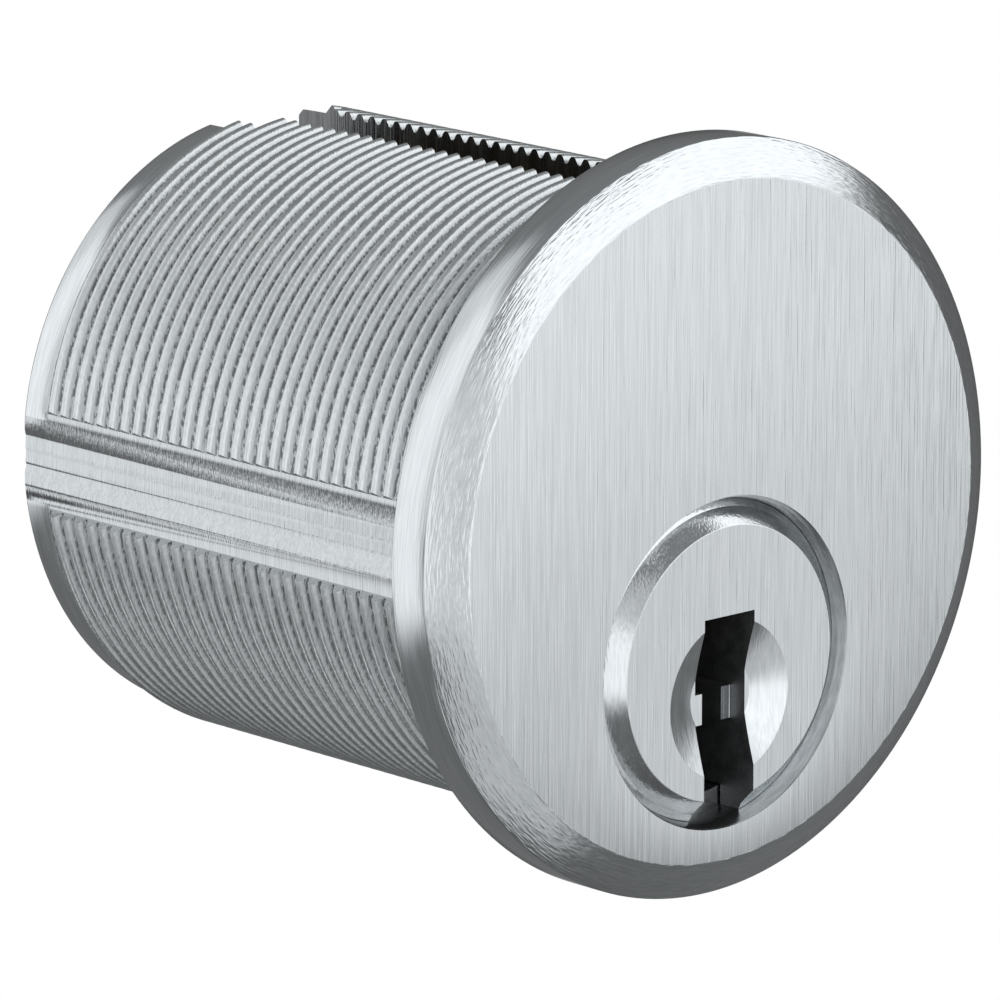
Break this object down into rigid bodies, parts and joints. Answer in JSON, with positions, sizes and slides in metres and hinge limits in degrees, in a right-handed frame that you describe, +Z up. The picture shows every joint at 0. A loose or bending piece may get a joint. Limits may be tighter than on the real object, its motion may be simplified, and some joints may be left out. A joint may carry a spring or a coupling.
{
  "type": "mortise cylinder",
  "caption": "Mortise lock cylinder: round-headed threaded shell with set-screw grooves, a low-set pin-tumbler plug with warded keyway, spring-loaded pin stacks and a rear cam.",
  "frame": {"origin": "on the axis of the shell's thread, in the plane of the head's back face, which seats on the lock's trim", "axes": "+Y along the thread axis into the door, so the head faces -Y; +Z up, with the pin chambers above the plug; +X to the right as seen from outside the door"},
  "size_m": [0.034, 0.0349, 0.034],
  "materials": {
    "satin_chrome": "satin chrome, brushed",
    "cam_steel": "tumbled",
    "screw_steel": "plain zinc",
    "brass": "turned",
    "nickel_silver": "turned",
    "spring_steel": "drawn wire"
  },
  "bodies": {
    "shell": {"shell": "satin_chrome", "chamber_cover": "brass", "pin_spring_1": "spring_steel", "pin_spring_2": "spring_steel", "pin_spring_3": "spring_steel", "pin_spring_4": "spring_steel", "pin_spring_5": "spring_steel", "pin_spring_6": "spring_steel"},
    "plug": {"plug": "satin_chrome", "cam": "cam_steel", "cam_screw_1": "screw_steel", "cam_screw_2": "screw_steel"},
    "key_pin_1": {"key_pin_1": "brass"},
    "key_pin_2": {"key_pin_2": "brass"},
    "key_pin_3": {"key_pin_3": "brass"},
    "key_pin_4": {"key_pin_4": "brass"},
    "key_pin_5": {"key_pin_5": "brass"},
    "key_pin_6": {"key_pin_6": "brass"},
    "driver_pin_1": {"driver_pin_1": "nickel_silver"},
    "driver_pin_2": {"driver_pin_2": "nickel_silver"},
    "driver_pin_3": {"driver_pin_3": "nickel_silver"},
    "driver_pin_4": {"driver_pin_4": "nickel_silver"},
    "driver_pin_5": {"driver_pin_5": "nickel_silver"},
    "driver_pin_6": {"driver_pin_6": "nickel_silver"}
  },
  "joints": [
    {"name": "plug_turn", "type": "hinge", "parent": "shell", "child": "plug", "pos_m": [0, 0, -0.0063], "axis": [0, 1, 0], "continuous": true},
    {"name": "key_pin_1_drop", "type": "slide", "parent": "plug", "child": "key_pin_1", "axis": [0, 0, 1], "range_m": [-0.00206, 0]},
    {"name": "key_pin_2_drop", "type": "slide", "parent": "plug", "child": "key_pin_2", "axis": [0, 0, 1], "range_m": [-0.0013, 0]},
    {"name": "key_pin_3_drop", "type": "slide", "parent": "plug", "child": "key_pin_3", "axis": [0, 0, 1], "range_m": [-0.00244, 0]},
    {"name": "key_pin_4_drop", "type": "slide", "parent": "plug", "child": "key_pin_4", "axis": [0, 0, 1], "range_m": [-0.00092, 0]},
    {"name": "key_pin_5_drop", "type": "slide", "parent": "plug", "child": "key_pin_5", "axis": [0, 0, 1], "range_m": [-0.00168, 0]},
    {"name": "key_pin_6_drop", "type": "slide", "parent": "plug", "child": "key_pin_6", "axis": [0, 0, 1], "range_m": [-0.00282, 0]},
    {"name": "driver_pin_1_lift", "type": "slide", "parent": "shell", "child": "driver_pin_1", "axis": [0, 0, 1], "range_m": [0, 0.00134], "stiffness_N_per_m": 60, "springref_m": -0.004, "deforming": ["pin_spring_1"]},
    {"name": "driver_pin_2_lift", "type": "slide", "parent": "shell", "child": "driver_pin_2", "axis": [0, 0, 1], "range_m": [0, 0.0021], "stiffness_N_per_m": 60, "springref_m": -0.004, "deforming": ["pin_spring_2"]},
    {"name": "driver_pin_3_lift", "type": "slide", "parent": "shell", "child": "driver_pin_3", "axis": [0, 0, 1], "range_m": [0, 0.00096], "stiffness_N_per_m": 60, "springref_m": -0.004, "deforming": ["pin_spring_3"]},
    {"name": "driver_pin_4_lift", "type": "slide", "parent": "shell", "child": "driver_pin_4", "axis": [0, 0, 1], "range_m": [0, 0.00248], "stiffness_N_per_m": 60, "springref_m": -0.004, "deforming": ["pin_spring_4"]},
    {"name": "driver_pin_5_lift", "type": "slide", "parent": "shell", "child": "driver_pin_5", "axis": [0, 0, 1], "range_m": [0, 0.00172], "stiffness_N_per_m": 60, "springref_m": -0.004, "deforming": ["pin_spring_5"]},
    {"name": "driver_pin_6_lift", "type": "slide", "parent": "shell", "child": "driver_pin_6", "axis": [0, 0, 1], "range_m": [0, 0.00058], "stiffness_N_per_m": 60, "springref_m": -0.004, "deforming": ["pin_spring_6"]}
  ]
}
